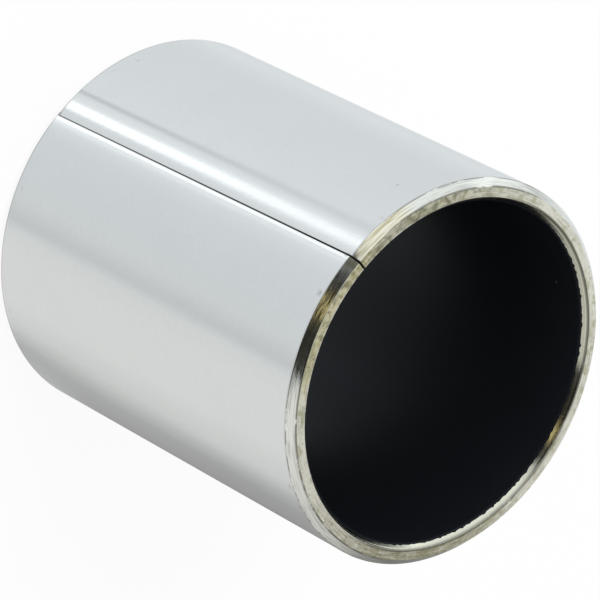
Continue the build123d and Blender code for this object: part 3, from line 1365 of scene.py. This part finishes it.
def add_floor():
    """Pale floor that keeps a soft shadow."""
    bpy.ops.mesh.primitive_plane_add(size=FLOOR_SIZE, location=(0, 0, -FLOOR_DROP))
    floor = bpy.context.object
    floor.name = "floor"
    material, tree = new_material("pale_floor")
    matt = add_node(tree, "ShaderNodeBsdfDiffuse", {"Color": (0.95, 0.95, 0.95, 1.0)})
    light = add_node(tree, "ShaderNodeEmission", {"Color": (1.0, 1.0, 1.0, 1.0), "Strength": 1.0})
    rays = tree.nodes.new("ShaderNodeLightPath")
    seen = calc(tree, "MULTIPLY", rays.outputs["Is Camera Ray"], FLOOR_WHITE)
    shown = add_node(tree, "ShaderNodeMixShader", {0: seen, 1: matt.outputs[0], 2: light.outputs[0]})
    output = tree.nodes.new("ShaderNodeOutputMaterial")
    tree.links.new(shown.outputs[0], output.inputs["Surface"])
    floor.data.materials.append(material)
    floor.visible_glossy = False


def set_world():
    """White for the camera and a plain level for matt surfaces."""
    world = bpy.data.worlds.new("studio_world")
    bpy.context.scene.world = world
    world.use_nodes = True
    tree = world.node_tree
    tree.nodes.clear()
    rays = tree.nodes.new("ShaderNodeLightPath")
    strength = spread(tree, rays.outputs["Is Camera Ray"], 0.0, 1.0, MATT_LEVEL, 1.0)
    back = add_node(tree, "ShaderNodeBackground", {"Color": (1, 1, 1, 1), "Strength": strength})
    output = tree.nodes.new("ShaderNodeOutputWorld")
    tree.links.new(back.outputs[0], output.inputs["Surface"])
    world.cycles_visibility.glossy = False


def add_lamp(name, place, size, power):
    """Soft lamp that shines at the bushing and doesn't show in its gloss."""
    light = bpy.data.lights.new(name, "AREA")
    light.shape = "DISK"
    light.size = size
    light.energy = power
    lamp = bpy.data.objects.new(name, light)
    bpy.context.scene.collection.objects.link(lamp)
    lamp.location = place
    lamp.rotation_euler = Vector(place).to_track_quat("Z", "Y").to_euler()
    lamp.visible_glossy = False


def add_camera():
    """Camera at the photograph's angle."""
    elevation, roll = CAMERA_ELEVATION, CAMERA_ROLL
    back = Vector((0, -math.cos(elevation), math.sin(elevation)))
    level_right = Vector((1, 0, 0))
    level_up = Vector((0, math.sin(elevation), math.cos(elevation)))
    right = math.cos(roll) * level_right + math.sin(roll) * level_up
    up = -math.sin(roll) * level_right + math.cos(roll) * level_up
    centre = Vector((0, 0, WALL.length / 2))
    place = centre + right * AIM_RIGHT + up * AIM_UP + back * CAMERA_DISTANCE
    data = bpy.data.cameras.new("camera")
    data.lens = LENS
    data.sensor_width = SENSOR
    data.clip_start = 0.01
    data.clip_end = 10.0
    camera = bpy.data.objects.new("camera", data)
    bpy.context.scene.collection.objects.link(camera)
    axes = Matrix((right, up, back)).transposed()
    camera.matrix_world = Matrix.Translation(place) @ axes.to_4x4()
    bpy.context.scene.camera = camera


class BUSHING_OT_studio(bpy.types.Operator):
    """Sets up the floor, the light tent, the lamp and the camera"""

    bl_idname = "bushing.studio"
    bl_label = "Studio"

    def execute(self, context):
        context.scene.view_settings.view_transform = "Standard"
        add_floor()
        add_tent()
        set_world()
        add_lamp("key_lamp", LAMP_PLACE, LAMP_SIZE, LAMP_POWER)
        add_camera()
        return {"FINISHED"}


# Panel and registration


class BUSHING_PT_panel(bpy.types.Panel):
    """Lists the bushing's pieces, sizes and finishes"""

    bl_idname = "BUSHING_PT_panel"
    bl_label = "Wrapped bushing"
    bl_space_type = "VIEW_3D"
    bl_region_type = "UI"
    bl_category = "Bushing"

    def draw(self, context):
        layout = self.layout
        for operator in OPERATORS:
            layout.operator(operator.bl_idname)
        for group in (context.scene.bushing_sizes, context.scene.bushing_finish):
            column = layout.column(align=True)
            for name in group.__annotations__:
                column.prop(group, name)


OPERATORS = (BUSHING_OT_steel_shell, BUSHING_OT_bronze_layer, BUSHING_OT_black_liner, BUSHING_OT_studio)
CLASSES = (BushingSizes, BushingFinish, *OPERATORS, BUSHING_PT_panel)


def register():
    for cls in CLASSES:
        bpy.utils.register_class(cls)
    bpy.types.Scene.bushing_sizes = bpy.props.PointerProperty(type=BushingSizes)
    bpy.types.Scene.bushing_finish = bpy.props.PointerProperty(type=BushingFinish)


def unregister():
    del bpy.types.Scene.bushing_finish
    del bpy.types.Scene.bushing_sizes
    for cls in reversed(CLASSES):
        bpy.utils.unregister_class(cls)


def main():
    """Registers the classes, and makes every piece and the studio."""
    register()
    bpy.ops.bushing.steel_shell()
    bpy.ops.bushing.bronze_layer()
    bpy.ops.bushing.black_liner()
    bpy.ops.bushing.studio()


if __name__ == "__main__":
    main()
